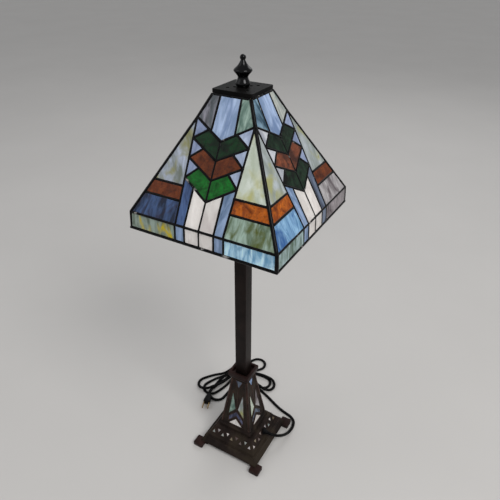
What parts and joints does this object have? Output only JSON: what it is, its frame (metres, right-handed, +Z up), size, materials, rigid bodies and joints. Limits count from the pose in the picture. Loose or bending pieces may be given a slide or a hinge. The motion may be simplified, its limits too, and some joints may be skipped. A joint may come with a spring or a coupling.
{
  "type": "stained glass table lamp",
  "caption": "Table lamp with a square stained glass shade on a harp, a slender square post, a pierced glazed lantern base and a loosely hanked cord.",
  "frame": {"origin": "centre of the base on the table, between the four foot pads", "axes": "+Z up along the post; the front face looks along -Y; the cord leaves the +X side and its hank lies behind and to the left"},
  "size_m": [0.3098, 0.3613, 0.8129],
  "materials": {
    "bronze": "dark antique bronze patina, satin",
    "solder": "black patina on rounded solder, semi-gloss",
    "gunmetal": "gloss gunmetal lacquer",
    "green_glass": "streaky cathedral glass",
    "amber_glass": "mottled opalescent glass",
    "blue_glass": "wispy opalescent glass",
    "white_glass": "opal glass",
    "pale_glass": "streaky opalescent glass",
    "sea_glass": "streaky opalescent glass",
    "night_glass": "streaky opalescent glass",
    "steel": "zinc plated",
    "brass": "satin",
    "iron": "as cast",
    "bulb_opal": "frosted",
    "black_plastic": "moulded, fine satin",
    "cord": "flexible vinyl",
    "felt": "felt",
    "card": "fibre liner"
  },
  "bodies": {
    "stand": {"base_nut_and_washer": "steel", "bottom_plate": "steel", "collar": "bronze", "cord_bushing": "black_plastic", "cord_hank": "cord", "cord_lead": "cord", "corner_feet": "bronze", "foot_pads": "felt", "foot_screws": "steel", "harp": "brass", "harp_saddle": "brass", "harp_stud": "brass", "inner_cord": "cord", "lantern_body": "bronze", "lantern_glass_chevrons": "night_glass", "lantern_glass_gables": "white_glass", "lantern_glass_kites": "blue_glass", "lantern_glass_spires": "sea_glass", "night_socket": "black_plastic", "plinth": "bronze", "plinth_glass": "white_glass", "plug": "black_plastic", "plug_blades": "brass", "post": "bronze", "post_cap": "bronze", "post_plugs": "steel", "socket_cap": "bronze", "socket_contacts": "brass", "socket_liner": "card", "socket_shell": "bronze", "switch_block": "black_plastic", "threaded_nipples": "steel", "weight": "iron"},
    "shade": {"came_back": "solder", "came_front": "solder", "came_left": "solder", "came_right": "solder", "glass_amber": "amber_glass", "glass_crown_centres": "blue_glass", "glass_crown_sides": "sea_glass", "glass_green": "green_glass", "glass_low_bands": "night_glass", "glass_skirt_corners": "pale_glass", "glass_spandrels": "blue_glass", "glass_strips": "blue_glass", "glass_wedges": "pale_glass", "glass_white": "white_glass", "rim_bead": "solder", "shade_cap": "gunmetal", "solder_beads": "solder"},
    "finial": {"finial": "gunmetal"},
    "switch_knob": {"switch_key": "bronze", "switch_stem": "brass"},
    "bulb": {"bulb_base": "brass", "bulb_glass": "bulb_opal"},
    "night_bulb": {"night_bulb_base": "brass", "night_bulb_glass": "bulb_opal"},
    "ferrule_right": {"harp_ferrule_right": "brass"},
    "ferrule_left": {"harp_ferrule_left": "brass"}
  },
  "joints": [
    {"name": "shade_turn", "type": "hinge", "parent": "stand", "child": "shade", "pos_m": [0, 0, 0.766], "axis": [0, 0, 1], "continuous": true},
    {"name": "finial_turn", "type": "hinge", "parent": "stand", "child": "finial", "pos_m": [0, 0, 0.775], "axis": [0, 0, 1], "continuous": true},
    {"name": "switch_turn", "type": "hinge", "parent": "stand", "child": "switch_knob", "pos_m": [0, -0.02, 0.6195], "axis": [0, -1, 0], "continuous": true},
    {"name": "bulb_turn", "type": "hinge", "parent": "stand", "child": "bulb", "pos_m": [0, 0, 0.64], "axis": [0, 0, 1], "continuous": true},
    {"name": "night_bulb_turn", "type": "hinge", "parent": "stand", "child": "night_bulb", "pos_m": [0, 0, 0.04], "axis": [0, 0, 1], "continuous": true},
    {"name": "ferrule_right_lift", "type": "slide", "parent": "stand", "child": "ferrule_right", "axis": [0, 0, 1], "range_m": [0, 0.012]},
    {"name": "ferrule_left_lift", "type": "slide", "parent": "stand", "child": "ferrule_left", "axis": [0, 0, 1], "range_m": [0, 0.012]}
  ]
}
